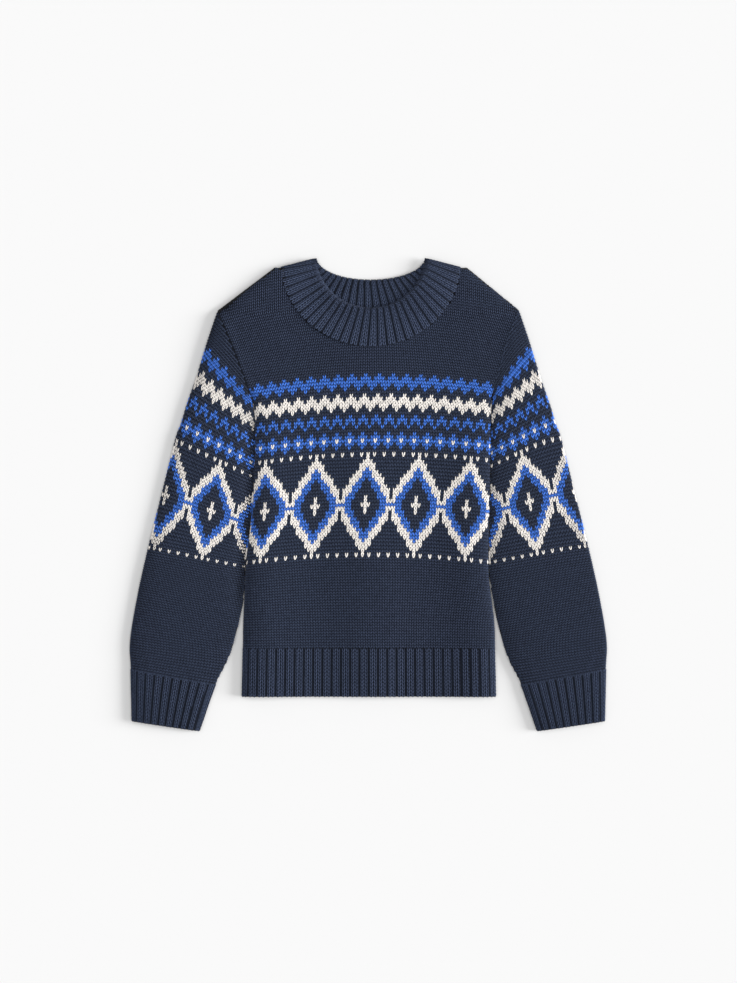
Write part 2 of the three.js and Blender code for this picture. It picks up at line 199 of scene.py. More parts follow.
def panel_height(side, x, y, depth):
    """Height of the front (side 1) or the back (side -1), a given depth inside its outer surface."""
    seam = FOLD_HEIGHT + side * SEAM_GAP / 2
    flat = front_height(x, y) - depth if side > 0 else depth
    along = 2 * (y - ARMPIT_Y) / (SHOULDER_TIP_Y - ARMPIT_Y) - 1
    reach = ARMHOLE_HEIGHT - FOLD_HEIGHT if side > 0 else FOLD_HEIGHT
    lift = reach * arch_height(along, ROUNDNESS if side > 0 else FLATNESS_BELOW)
    edge = seam + side * np.maximum(0, lift - depth)
    at_armhole = smooth((y - ARMPIT_Y) / ARMHOLE_BLEND)
    half = body_half(y) - depth * (1 - at_armhole)
    rounding = mix(SIDE_ROUNDING - depth, ARMHOLE_ROUNDING, at_armhole)
    z = mix(edge, flat, quarter_round((half - np.abs(x - body_middle(y))) / rounding))
    shoulder = quarter_round((inside_shoulder(x, y) - depth) / (SHOULDER_ROUNDING - depth))
    return mix(seam, z, shoulder)


def neck_dip(sine):
    """How far the neckline dips at the sine of a turn: 0 at its sides and 1 in the middle."""
    deepest = math.hypot(1, NECK_SIDE_TURN) - NECK_SIDE_TURN
    return (np.hypot(sine, NECK_SIDE_TURN) - NECK_SIDE_TURN) / deepest


def armhole_bend(hand, y):
    """How far the armhole is from a straight line between the armpit and the shoulder tip."""
    def edge(at):
        return hand * body_half(at) + body_middle(at)

    along = (y - ARMPIT_Y) / (SHOULDER_TIP_Y - ARMPIT_Y)
    bend = edge(y) - mix(edge(ARMPIT_Y), edge(SHOULDER_TIP_Y), along)
    return np.where(along < 1, bend, 0)


NECK_COLUMNS = 22  # of the panel's mesh, from its middle to the end of the neckline and to its side
SIDE_COLUMNS = 36
LOW_ROWS = 42  # of the panel's mesh, below and above the armpit
HIGH_ROWS = 22


def panel_grid(side, depth):
    """Points of a panel: rows from the rib up to the neck and shoulders, columns across."""
    column = np.arange(-SIDE_COLUMNS, SIDE_COLUMNS + 1)
    outer = np.abs(column)
    across = np.sin(math.pi / 2 * column / SIDE_COLUMNS)
    turn = math.pi / 2 * (1 - column / NECK_COLUMNS)
    dip = (NECK_SEAM["front"] if side > 0 else NECK_SEAM["back"]) - NECK_TUCK
    corner = np.where(outer == NECK_COLUMNS, depth * NECK_CORNER_DROP, 0)
    neck_x = NECK_MIDDLE + (NECK_SEAM["half"] - NECK_TUCK) * np.cos(turn)
    neck_y = NECK_SEAM["top"] - dip * neck_dip(np.sin(turn)) - corner
    share = (outer - NECK_COLUMNS - 1) / (SIDE_COLUMNS - NECK_COLUMNS - 1)
    shoulder_x = SHOULDER_FROM[0] + SHOULDER_LINE[0] * share + SHOULDER_INWARD[0] * depth * (1 - share)
    shoulder_x = np.sign(column) * shoulder_x + NECK_MIDDLE * (1 - share)
    shoulder_y = SHOULDER_FROM[1] + SHOULDER_LINE[1] * share + SHOULDER_INWARD[1] * depth * (1 - share)
    top_x = np.where(outer <= NECK_COLUMNS, neck_x, shoulder_x)
    top_y = np.where(outer <= NECK_COLUMNS, neck_y, shoulder_y)
    bottom = RIB_TOP_Y + SEAM_GAP / 2
    rows = []
    for row in range(LOW_ROWS + HIGH_ROWS + 1):
        up = max(0, row - LOW_ROWS) / HIGH_ROWS
        if up == 0:
            y = np.full(len(column), mix(bottom, ARMPIT_Y, row / LOW_ROWS))
            x = body_middle(y) + (body_half(y) - depth) * across
        else:
            y = mix(ARMPIT_Y, top_y, up)
            at_armpit = body_middle(ARMPIT_Y) + (body_half(ARMPIT_Y) - depth * (1 - up)) * across
            # The cube keeps the armhole's bend near the panel's sides
            x = mix(at_armpit, top_x, up) + armhole_bend(np.sign(column), y) * np.abs(across) ** 3
        rows.append(np.stack([x, y, panel_height(side, x, y, depth)], axis=-1))
    return np.array(rows)


def grid_faces(height, width, closed_rows, closed_columns):
    """Quads between rows of points, joined round where they are closed."""
    row, column = np.meshgrid(
        np.arange(height if closed_rows else height - 1),
        np.arange(width if closed_columns else width - 1),
        indexing="ij",
    )
    next_row = (row + 1) % height
    next_column = (column + 1) % width
    corners = [(row, column), (row, next_column), (next_row, next_column), (next_row, column)]
    return np.stack([(r * width + c).ravel() for r, c in corners], axis=-1)


def new_object(name, points, faces):
    """A smooth mesh object at the origin. points are millimetres."""
    mesh = bpy.data.meshes.new(name)
    mesh.from_pydata((np.asarray(points).reshape(-1, 3) * MM).tolist(), [], faces)
    mesh.shade_smooth()
    obj = bpy.data.objects.new(name, mesh)
    bpy.context.scene.collection.objects.link(obj)
    return obj


def point_values(mesh, name, values):
    """Gives each point of a mesh a number that materials and trees can read by name."""
    mesh.attributes.new(name, "FLOAT", "POINT").data.foreach_set("value", np.asarray(values, float))


def signed_volume(points, faces):
    """Six times the volume that the faces enclose, below 0 where they point inwards."""
    a, b, c, d = (points[faces[:, i]] for i in range(4))
    first = np.einsum("ij,ij->i", a, np.cross(b, c))
    second = np.einsum("ij,ij->i", a, np.cross(c, d))
    return np.sum(first + second)


def closed_cloth(name, points, faces, painted_light):
    """A closed mesh of cloth, its faces turned outwards. crest is how light the cloth is painted, as
    CLOTH_PAINTED_LIGHT is: painted shade below 1.
    """
    points = points.reshape(-1, 3)
    if signed_volume(points, faces) < 0:
        faces = faces[:, ::-1]
    cloth = new_object(name, points, faces.tolist())
    point_values(cloth.data, "painted_light", np.full(len(points), painted_light))
    return cloth


def panel_cloth(name, outside, inside, painted_light=CLOTH_PAINTED_LIGHT):
    """A panel of cloth: its outside and inside, closed along its four edges."""
    height, width = outside.shape[:2]
    half = height * width
    skin = grid_faces(height, width, False, False)
    index = np.arange(half).reshape(height, width)
    rim = np.concatenate([index[0, :-1], index[:-1, -1], index[-1, :0:-1], index[:0:-1, 0]])
    ahead = np.roll(rim, -1)
    walls = np.stack([ahead, rim, rim + half, ahead + half], axis=-1)
    faces = np.concatenate([skin, skin[:, ::-1] + half, walls])
    return closed_cloth(name, np.concatenate([outside, inside]), faces, painted_light)


# Yarn. Worsted-spun wool of about 3 mm in three colours, plied, matt, with a soft halo of fibres. Each stitch
# carries its yarn's number, so one material dyes them all.

YARN_COLOURS = {"navy": "#374055", "blue": "#4c80e6", "cream": "#fdf7f1"}
YARN_NUMBER = {".": 0, "b": 1, "w": 2}
HOLLOW_PAINTED_SHADE = {"dyed": 0.06, "cream": 1.1}  # painted shade: how light the wool is painted between the stitches, times its colour
CREST_PAINTED_HIGHLIGHT = {"dyed": 2.25, "cream": 1.2}  # and the painted highlight on their crests
PAINTED_SHADE_CURVE = 1.8  # above 1, the hollows' painted shade reaches further up
MOTTLE = 0.24  # how much lighter and darker than that the wool's patches are
PLY_RELIEF = 0.35  # of the plies, compared with the fibres'


def linear(hex_colour):
    """An sRGB hex colour as linear red, green, blue and alpha."""
    parts = [int(hex_colour[i : i + 2], 16) / 255 for i in (1, 3, 5)]
    return [p / 12.92 if p <= 0.04045 else ((p + 0.055) / 1.055) ** 2.4 for p in parts] + [1.0]


def add_node(tree, kind, inputs=None, **settings):
    """Adds a node with its settings, and sets its inputs to values or links them to other nodes' outputs."""
    node = tree.nodes.new(kind)
    for name, value in settings.items():
        setattr(node, name, value)
    for name, value in (inputs or {}).items():
        if isinstance(value, bpy.types.NodeSocket):
            tree.links.new(value, node.inputs[name])
        else:
            node.inputs[name].default_value = value
    return node


def calculate(tree, operation, *values):
    """The output of a math node."""
    return add_node(tree, "ShaderNodeMath", dict(enumerate(values)), operation=operation).outputs[0]


def point_value(tree, name):
    """The output of a node that reads a number of the mesh's points."""
    return add_node(tree, "ShaderNodeAttribute", attribute_name=name).outputs["Fac"]


def fitted(tree, value, low, high, start=0.0, end=1.0):
    """The output of a node that turns values from start to end into ones from low to high."""
    limits = {"From Min": start, "From Max": end, "To Min": low, "To Max": high}
    return add_node(tree, "ShaderNodeMapRange", {"Value": value, **limits}).outputs["Result"]


def wool_material(name, light=1.0):
    """Plied wool, dyed by the stitch's yarn number, with painted shade in the hollows between stitches and a
    painted highlight on their crests; light above 1 paints all of it lighter.
    """
    material = bpy.data.materials.new(name)
    material.use_nodes = True
    tree = material.node_tree
    tree.nodes.clear()
    place = add_node(tree, "ShaderNodeTexCoord").outputs["Object"]
    yarn = point_value(tree, "yarn")
    is_blue = calculate(tree, "GREATER_THAN", yarn, 0.5)
    is_cream = calculate(tree, "GREATER_THAN", yarn, 1.5)
    navy, blue, cream = map(linear, YARN_COLOURS.values())
    colour = navy
    for factor, dye in ((is_blue, blue), (is_cream, cream)):
        colours = {"Factor": factor, 6: colour, 7: dye}
        colour = add_node(tree, "ShaderNodeMix", colours, data_type="RGBA").outputs[2]
    patches = add_node(
        tree, "ShaderNodeTexNoise", {"Vector": place, "Scale": 420.0, "Detail": 3.0, "Roughness": 0.6}
    )
    mottle_tone = fitted(
        tree, patches.outputs["Fac"], (1 - MOTTLE) * light, (1 + MOTTLE) * light, start=0.3, end=0.7
    )
    hollow_painted_shade = fitted(tree, is_cream, HOLLOW_PAINTED_SHADE["dyed"], HOLLOW_PAINTED_SHADE["cream"])
    top_painted_highlight = fitted(tree, is_cream, CREST_PAINTED_HIGHLIGHT["dyed"], CREST_PAINTED_HIGHLIGHT["cream"])
    # Each point's painted light runs the tone from the hollows' painted shade up to the crests' painted
    # highlight
    painted_light = calculate(tree, "POWER", point_value(tree, "painted_light"), PAINTED_SHADE_CURVE)
    tone = calculate(tree, "MULTIPLY", mottle_tone, fitted(tree, painted_light, hollow_painted_shade, top_painted_highlight))
    toned = add_node(tree, "ShaderNodeVectorMath", {0: colour, "Scale": tone}, operation="SCALE")
    fibres = add_node(
        tree, "ShaderNodeTexNoise", {"Vector": place, "Scale": 1600.0, "Detail": 2.0, "Roughness": 0.7}
    )
    plies = calculate(tree, "SINE", calculate(tree, "MULTIPLY", point_value(tree, "ply"), 2 * math.pi))
    relief = calculate(tree, "MULTIPLY_ADD", plies, PLY_RELIEF, fibres.outputs["Fac"])
    fuzz = add_node(tree, "ShaderNodeBump", {"Strength": 0.6, "Distance": 0.4 * MM, "Height": relief})
    shader = add_node(
        tree,
        "ShaderNodeBsdfPrincipled",
        {
            "Base Color": toned.outputs["Vector"],
            "Roughness": 0.95,
            "Specular IOR Level": 0.15,
            "Sheen Weight": 0.05,
            "Sheen Roughness": 0.5,
            "Normal": fuzz.outputs["Normal"],
        },
    )
    add_node(tree, "ShaderNodeOutputMaterial", {"Surface": shader.outputs["BSDF"]})
    return material


# Stitches. A knit stitch shows as a V of two plump legs, each tucked under the stitch above it. The plain
# stitch has fewer slices, for ribs and for the side that is seen less.

STITCH_DEPTH = 1.25  # from the hollow between stitches up to the crest of a leg
UNEVENNESS = 0.035  # of stitches: how far they may be turned, in radians, and their size be off, as a share
LEG_FOOT = (0.05, -0.68)  # in stitch widths and rows, from the middle of the stitch
LEG_TOP = (0.36, 0.76)
LEG_BOW = 0.05  # how far a leg bows outwards
LEG_END_HEIGHT = 0.15
LEG_SLICES = [
    {"along": 0.12, "half_width": 0.195, "height": 0.46},
    {"along": 0.50, "half_width": 0.250, "height": 1.00},
    {"along": 0.88, "half_width": 0.205, "height": 0.50},
]
PLAIN_LEG_SLICES = [
    {"along": 0.24, "half_width": 0.235, "height": 0.92},
    {"along": 0.76, "half_width": 0.235, "height": 0.92},
]
SIDE_PAINTED_LIGHT = 0.2  # painted shade: how light a leg's sides and ends are painted, compared with its crest
PLY_TURNS = 3.5  # how often the plies cross a leg, and how far they slant from its crest to its side
PLY_SLANT = 0.45


def knit_stitch(name, slices):
    """The legs of a V, each an open-bottomed tapered tube with three points in each slice."""
    points, faces, painted_lights, plies = [], [], [], []
    for hand in (-1, 1):
        start = len(points)
        foot = np.array([hand * LEG_FOOT[0], LEG_FOOT[1]])
        top = np.array([hand * LEG_TOP[0], LEG_TOP[1]])
        points.append([*foot, LEG_END_HEIGHT])
        painted_lights.append(SIDE_PAINTED_LIGHT)
        plies.append(0.0)
        for cut in slices:
            x, y = mix(foot, top, cut["along"])
            x += hand * LEG_BOW * math.sin(math.pi * cut["along"])
            for sideways in (-1, 0, 1):
                points.append([x + sideways * cut["half_width"], y, 0.0 if sideways else cut["height"]])
                # A point's painted light: full on a leg's crest and lower towards its ends, painted shade on
                # its sides, which lie in the hollows
                painted_lights.append(cut["height"] * (SIDE_PAINTED_LIGHT if sideways else 1))
                plies.append(PLY_TURNS * cut["along"] + sideways * PLY_SLANT)
        points.append([*top, LEG_END_HEIGHT])
        painted_lights.append(SIDE_PAINTED_LIGHT)
        plies.append(PLY_TURNS)
        last = len(points) - 1
        faces += [(start, start + 2, start + 1), (start, start + 3, start + 2)]
        for a in range(start + 1, last - 3, 3):
            faces += [(a, a + 1, a + 4, a + 3), (a + 1, a + 2, a + 5, a + 4)]
        faces += [(last - 3, last - 2, last), (last - 2, last - 1, last)]
    mesh = bpy.data.meshes.new(name)
    mesh.from_pydata(points, [], faces)
    mesh.shade_smooth()
    point_values(mesh, "painted_light", painted_lights)
    point_values(mesh, "ply", plies)
    return bpy.data.objects.new(name, mesh)


def stitch_tree():
    """The tree that puts a stitch on each point of a chart, each turned and sized a little differently."""
    tree = bpy.data.node_groups.new("stitches on a chart", "GeometryNodeTree")
    for name, kind in [
        ("Chart", "NodeSocketGeometry"),
        ("Stitch", "NodeSocketObject"),
        ("Yarn", "NodeSocketMaterial"),
        ("Unevenness", "NodeSocketFloat"),
        ("Seed", "NodeSocketInt"),
    ]:
        tree.interface.new_socket(name, in_out="INPUT", socket_type=kind)
    tree.interface.new_socket("Knitting", in_out="OUTPUT", socket_type="NodeSocketGeometry")
    given = add_node(tree, "NodeGroupInput").outputs

    def uneven(middle):
        """The output of a node that gives each point a random number near the middle."""
        lowest = calculate(tree, "SUBTRACT", middle, given["Unevenness"])
        highest = calculate(tree, "ADD", middle, given["Unevenness"])
        limits = {2: lowest, 3: highest, "Seed": given["Seed"]}
        return add_node(tree, "FunctionNodeRandomValue", limits, data_type="FLOAT").outputs[1]

    stitch = add_node(tree, "GeometryNodeObjectInfo", {"Object": given["Stitch"]})
    turned = add_node(tree, "ShaderNodeCombineXYZ", {"Z": uneven(0.0)})
    rotation = add_node(tree, "FunctionNodeEulerToRotation", {"Euler": turned.outputs[0]})
    placed = add_node(
        tree,
        "GeometryNodeInstanceOnPoints",
        {
            "Points": given["Chart"],
            "Instance": stitch.outputs["Geometry"],
            "Rotation": rotation.outputs[0],
            "Scale": uneven(1.0),
        },
    )
    real = add_node(tree, "GeometryNodeRealizeInstances", {"Geometry": placed.outputs[0]})
    cloth = {"Geometry": real.outputs[0], "Material": given["Yarn"]}
    dyed = add_node(tree, "GeometryNodeSetMaterial", cloth)
    add_node(tree, "NodeGroupOutput", {"Knitting": dyed.outputs[0]})
    return tree


STITCHES_ON_CHART = stitch_tree()
V_STITCH = knit_stitch("knit stitch", LEG_SLICES)
PLAIN_V_STITCH = knit_stitch("knit stitch, plain", PLAIN_LEG_SLICES)
FORM_STEP = 0.5  # between the columns and rows of a form's points, in stitches


class Form:
    """A surface to lay stitches on: points at regular columns and rows, read in between.

    Its normals point the way that outwards does, which is a direction, or one for each point.
    """

    def __init__(self, columns, rows, points, outwards):
        self.columns = columns
        self.rows = rows
        self.points = points
        along = np.gradient(points, columns, axis=1)
        up = np.gradient(points, rows, axis=0)
        normals = np.cross(along, up)
        self.normals = normals / np.maximum(np.linalg.norm(normals, axis=-1, keepdims=True), 1e-9)
        if np.sum(self.normals * outwards) < 0:
            self.normals = -self.normals

    def read(self, grid, column, row):
        """The values of a grid at columns and rows, in proportion between its four nearest points."""
        i = (column - self.columns[0]) / (self.columns[1] - self.columns[0])
        j = (row - self.rows[0]) / (self.rows[1] - self.rows[0])
        # A thousandth less than the last keeps a next point beyond each
        i = np.clip(i, 0, len(self.columns) - 1.001)
        j = np.clip(j, 0, len(self.rows) - 1.001)
        i0 = i.astype(int)
        j0 = j.astype(int)
        s = (i - i0)[:, None]
        t = (j - j0)[:, None]
        low = mix(grid[j0, i0], grid[j0, i0 + 1], s)
        high = mix(grid[j0 + 1, i0], grid[j0 + 1, i0 + 1], s)
        return mix(low, high, t)

    def lay(self, column, row, lift):
        """Places on the form, lifted off it by a number of millimetres."""
        normals = self.read(self.normals, column, row)
        return self.read(self.points, column, row) + normals * lift[:, None]


def knitting(
    name, columns, rows, yarns, form, material, seed, stitch=V_STITCH, unevenness=UNEVENNESS, trim=None
):
    """One mesh of stitches at the given columns and rows, in their yarns, laid on a form.

    trim, if given, moves the points that would pass an edge back to it.
    """
    chart = bpy.data.meshes.new(name)
    chart.from_pydata([(column, row, 0) for column, row in zip(columns, rows)], [], [])
    point_values(chart, "yarn", yarns)
    flat = bpy.data.objects.new(name, chart)
    bpy.context.scene.collection.objects.link(flat)
    modifier = flat.modifiers.new("stitches", "NODES")
    modifier.node_group = STITCHES_ON_CHART
    values = {"Stitch": stitch, "Yarn": material, "Unevenness": unevenness, "Seed": seed}
    for item in STITCHES_ON_CHART.interface.items_tree:
        if item.name in values:
            modifier[item.identifier] = values[item.name]
    evaluated = flat.evaluated_get(bpy.context.evaluated_depsgraph_get())
    mesh = bpy.data.meshes.new_from_object(evaluated)
    flat.modifiers.clear()
    flat.data = mesh
    bpy.data.meshes.remove(chart)
    mesh.name = name
    points = np.empty(len(mesh.vertices) * 3)
    mesh.vertices.foreach_get("co", points)
    column, row, height = points.reshape(-1, 3).T
    raised = form.lay(column, row, (height - 1) * STITCH_DEPTH)
    if trim is not None:
        raised = trim(raised)
    mesh.vertices.foreach_set("co", (raised * MM).ravel())
    mesh.update()
    return flat


# The pattern, charted. The yoke's bands repeat over four stitches, and are charted from a peak's
# column to the one between two peaks. The diamonds repeat over sixteen, are charted from the tip's column to
# the one between two diamonds, and are the same below their middle row as above it.

BAND_REPEAT = 4
BAND_PEAK = 2  # the column of a peak, where column 0 has a diamond's tip
DIAMOND_REPEAT = 16
BANDS = (
    ["b..", "bb.", "bbb", ".bb", "..b", "..."]
    + ["w..", "ww.", "www", ".ww", "..w", "..."]
    + ["b..", "bb.", ".b.", "..b", "..."]
    + ["b..", "bb.", "wbb", "bb.", "b..", "..."]
)
HALF_DIAMOND = [
    "w.w..w..w",
    "w........",
    "ww.......",
    "www......",
    "bww......",
    "bbww.....",
    "bbwww....",
    ".bbwww...",
    "..bbww...",
    "..bbbww..",
    "...bbwww.",
    "....bbww.",
    "w...bbbw.",
    "w....bbww",
    "ww...bbbb",
]
DIAMONDS = HALF_DIAMOND + HALF_DIAMOND[-2::-1]
DIAMOND_TOP = len(BANDS)
PATTERN_ROWS = len(BANDS) + len(DIAMONDS)


def from_middle(column, repeat):
    """How many stitches a column is from the nearest middle of a repeat."""
    return min(column % repeat, -column % repeat)


def yarn_at(column, row):
    """The yarn of one stitch. Rows are counted down from the top of the pattern."""
    if not 0 <= row < PATTERN_ROWS:
        return YARN_NUMBER["."]
    if row < DIAMOND_TOP:
        return YARN_NUMBER[BANDS[row][from_middle(column - BAND_PEAK, BAND_REPEAT)]]
    return YARN_NUMBER[DIAMONDS[row - DIAMOND_TOP][from_middle(column, DIAMOND_REPEAT)]]


# Where the rows and columns of the body lie. Rows droop to the sides, and the columns lean a little.

TOP_ROW_Y = 119.4
PLAIN_ROW = 2.84  # heights of rows, which are less in one yarn than in two
YOKE_ROW = 3.44
DIAMOND_ROW = 3.58
BODY_ROWS_DOWN = 84  # below and above the pattern's top row
BODY_ROWS_UP = 45
BODY_COLUMNS = 40  # to each side of column 0, at the most
SHOULDER_TRIM = 1.0  # between the stitches and the shoulder seam
NECK_REACH = 1.0  # how far the stitches' middles may be under the neckband
LENGTH_TOP_Y = 150.0  # rows above it are taken to be as long as the one there
BODY_SAMPLES = 500
DROOP_AT = 115.0  # the distance from the middle at which rows droop by the table's amount
ROW_SHAPE = table_curves(
    {
        "level": [-153, -59, -8.5, 41, 76, 120, 184, 240],
        "droop": [0.5, 7, 7.5, 7.3, 6.6, 8.5, 10, 10],
        "tilt": [0, 0.3, 0.8, 1.5, 1.5, 1.5, 1.5, 1.5],
    }
)
FRONT_COLUMNS = table_curves(
    {
        "level": [-201, -153, -59, -8.5, 28, 57, 74, 96, 115, 150, 240],
        "centre_x": [-8.4, -8, -5.9, -3.1, -1.0, 0.6, 1.2, 2.5, 4.2, 4.6, 4.6],
        "to_right": [37.3, 37.3, 37.3, 37.1, 36.4, 36.4, 36.5, 36.8, 37.2, 37.2, 37.2],
        "to_left": [40.5, 40.5, 40.5, 40.5, 39.3, 38.6, 38.0, 37.2, 36.7, 36.7, 36.7],
    }
)


def row_level(row):
    """The height up the body of the middle of a row."""
    plain = np.minimum(row, 0) + np.maximum(row - PATTERN_ROWS, 0)
    bands = np.clip(row, 0, DIAMOND_TOP)
    diamonds = np.clip(row - DIAMOND_TOP, 0, PATTERN_ROWS - DIAMOND_TOP)
    return TOP_ROW_Y - PLAIN_ROW * plain - YOKE_ROW * bands - DIAMOND_ROW * diamonds


def body_form(side, lie):
    """The form of the front or back, at even distances round its cross-section.

    lie has three curves over the height up the body. centre_x is where column 0 is, and to_right and to_left
    are the stitches from it to the wearer's right and left side.
    """
    columns = np.arange(-BODY_COLUMNS - 1, BODY_COLUMNS + 1 + FORM_STEP, FORM_STEP)
    rows = np.arange(-BODY_ROWS_UP, BODY_ROWS_DOWN + 1, FORM_STEP)
    across = np.sin(np.linspace(-math.pi / 2, math.pi / 2, BODY_SAMPLES))
    points = []
    for row in rows:
        level = float(row_level(row))
        middle = body_middle(level)
        half = body_half(level)
        x = middle + half * across
        z = panel_height(side, x, np.full(len(x), min(level, LENGTH_TOP_Y)), 0)
        length = path_length(np.stack([x, z], axis=-1))
        centre = np.interp(lie["centre_x"](level), x, length)
        right_stitch = centre / lie["to_right"](level)
        left_stitch = (length[-1] - centre) / lie["to_left"](level)
        place = centre + columns * np.where(columns < 0, right_stitch, left_stitch)
        past_side = np.maximum(np.maximum(-place, place - length[-1]), 0)
        share = (np.interp(place, length, x) - middle) / half
        droop = ROW_SHAPE["droop"](level) * (share * half / DROOP_AT) ** 2
        y = level - droop + ROW_SHAPE["tilt"](level) * share
        x = body_middle(y) + body_half(y) * share
        z = panel_height(side, x, y, 0) - side * past_side
        points.append(np.stack([x, y, z], axis=-1))
    # Rows are counted down, and a stitch's top is towards the row above it
    return Form(columns, -rows[::-1], np.array(points)[::-1], np.array([0, 0, side]))


def body_chart(side, form, lie):
    """The columns and rows where a panel has stitches: inside its sides, shoulders, neckline and rib."""
    all_columns = np.arange(-BODY_COLUMNS, BODY_COLUMNS + 1)
    all_rows = np.arange(-BODY_ROWS_UP, BODY_ROWS_DOWN + 1)
    column, row = (grid.ravel() for grid in np.meshgrid(all_columns, all_rows))
    x, y, _ = form.read(form.points, column.astype(float), -row.astype(float)).T
    level = row_level(row)
    inside = (column > -lie["to_right"](level)) & (column < lie["to_left"](level))
    inside &= (y > RIB_TOP_Y + SEAM_GAP) & (inside_shoulder(x, y) > SHOULDER_TRIM)
    sine = np.sqrt(np.clip(1 - ((x - NECK_MIDDLE) / NECK_SEAM["half"]) ** 2, 0, 1))
    dip = NECK_SEAM["front"] if side > 0 else NECK_SEAM["back"]
    neck_y = NECK_SEAM["top"] - dip * neck_dip(sine)
    inside &= (np.abs(x - NECK_MIDDLE) > NECK_SEAM["half"]) | (y < neck_y + NECK_REACH)
    return column[inside], row[inside]


def trim_at_shoulder(points):
    """Moves points that are past the shoulder seam straight down to just inside it."""
    x, y, z = points.T
    past = np.clip(SHOULDER_TRIM - inside_shoulder(x, y), 0, None)
    on_slope = np.abs(x - NECK_MIDDLE) > SHOULDER_FROM[0]
    y = y - past / np.where(on_slope, -SHOULDER_INWARD[1], 1)
    return np.stack([x, y, z], axis=-1)


def body_knitting(name, side, lie, material, seed, stitch):
    form = body_form(side, lie)
    column, row = body_chart(side, form, lie)
    yarns = [yarn_at(c, r) for c, r in zip(column.tolist(), row.tolist())]
    return knitting(name, column, -row, yarns, form, material, seed, stitch, trim=trim_at_shoulder)


body_wool = wool_material("worsted wool, body")
front = panel_cloth("front_cloth", panel_grid(1, CLOTH_DEPTH), panel_grid(1, WALL))
front.data.materials.append(body_wool)
front_stitches = body_knitting("front_stitches", 1, FRONT_COLUMNS, body_wool, seed=1, stitch=V_STITCH)
for piece in (front, front_stitches):
    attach(piece, "root")
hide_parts("front")


# The back: the same panel behind, in the same wool and pattern, with a higher neckline. It lies flat on the
# surface, and its sides meet the front's at the folds.

BACK_TO_SIDE = 38.2


def to_side(level):
    """The stitches from the back's middle to a side, at any height."""
    return BACK_TO_SIDE


BACK_COLUMNS = {"centre_x": body_middle, "to_right": to_side, "to_left": to_side}
back = panel_cloth("back_cloth", panel_grid(-1, CLOTH_DEPTH), panel_grid(-1, WALL))
back.data.materials.append(body_wool)
back_stitches = body_knitting("back_stitches", -1, BACK_COLUMNS, body_wool, seed=2, stitch=PLAIN_V_STITCH)
for piece in (back, back_stitches):
    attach(piece, "root")
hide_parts("back")


# The sleeves: tapered tubes in the same wool, flattened as they lie, from the armhole down to the cuff. Their
# rows run on at a slant from the body's, and their columns follow the outer fold.

BODY_TO_SLEEVE = -0.8  # the sleeve is tucked a little under the side of the body
REST_SPREAD = 1.15  # widens the flat part of the underside, where a tube rests
SLEEVE = table_curves(
    {
        "place": range(13),
        "outer_x": [150.9, 160.1, 167.2, 173.8, 181.3, 187.7, 193, 206.5, 219.6, 230.7, 238.3, 237.6, 236.3],
        "outer_y": [183.8, 156.8, 133.8, 112.8, 91.8, 70.8, 56.3, 2.3, -49.7, -99.2, -145.2, -174.2, -226.2],
        "inner_x": [125, 124, 122, 120, 119, 119, 119, 120, 122, 126.6, 138, 152.2, 168.6],
        "inner_y": [100.8, 96.8, 91.6, 73.8, 51.8, 32.8, 19.8, -31.2, -73.2, -118, -160.2, -189.8, -236.2],
        "free": [0, 0, 0, 0, 0, 0, 0, 0, 0, 1, 1, 1, 1],
        "height": [10.4, 10.4, 10.2, 10, 9.9, 9.9, 9.9, 9.9, 9.9, 9.9, 9.9, 9.6, 9.6],
    }
)
CUFF_TOP = 11  # the place where the cuff starts
CUFF_SEAM = 0.005  # half of its seam's gap, in places
ARMHOLE_PLACES = 2  # along which the sleeve has some of the armhole's bend
TUCKED_PLACE = -0.06  # the cloth starts this far inside the body, and is deeper there
TUCKED_DEPTH = 0.6
SLEEVE_RINGS = 64
RING_COLUMNS = 72
VALLEY_DEPTH = 3.6  # how far the right sleeve sinks beside the body, and between which places along it
VALLEY_MIDDLE = 5.0
VALLEY_WIDTH = 8.0
VALLEY_FROM = 2.6
VALLEY_TO = 8.3


def resting_height(fold, top, depth, lift):
    """The height of a flattened tube's wall: lift is -1 below to 1 on top, and its underside is flat."""
    below = np.maximum(depth, fold + (fold - depth) * lift * REST_SPREAD)
    return np.where(lift < 0, below, fold + (top - fold - depth) * lift)


def sleeve_points(hand, place, turn, depth):
    """Points of a sleeve or cuff at a place along it. turn goes round, from the outer fold over the top."""
    outer = np.array([SLEEVE["outer_x"](place), SLEEVE["outer_y"](place)])
    inner_y = SLEEVE["inner_y"](place)
    body_edge = body_half(inner_y) + hand * body_middle(inner_y) + BODY_TO_SLEEVE
    free_x = mix(body_edge, SLEEVE["inner_x"](place), np.clip(SLEEVE["free"](place), 0, 1))
    inner = np.array([np.maximum(free_x, body_edge), inner_y])
    c = np.cos(turn)
    s = np.sin(turn)
    roundness = np.where(s > 0, ROUNDNESS, FLATNESS_BELOW)
    length = np.hypot(*(outer - inner))
    along = 0.5 + np.sign(c) * np.abs(c) ** (2 / roundness) * (0.5 - depth / length)
    x = mix(inner[0], outer[0], along)
    y = mix(inner[1], outer[1], along)
    bow = 1 - smooth(place / ARMHOLE_PLACES)
    bend = bow * armhole_bend(hand, mix(ARMPIT_Y, SHOULDER_TIP_Y, along))
    lift = np.sign(s) * np.abs(s) ** (2 / roundness)
    z = resting_height(FOLD_HEIGHT, SLEEVE["height"](place), depth, lift)
    if hand < 0:
        beside_body = smooth(place - VALLEY_FROM) * (1 - smooth(place - VALLEY_TO))
        valley = bump((along * length - VALLEY_MIDDLE) / VALLEY_WIDTH) * smooth(lift)
        z = z - VALLEY_DEPTH * beside_body * valley
    return np.stack([hand * x + bend, y, z], axis=-1)


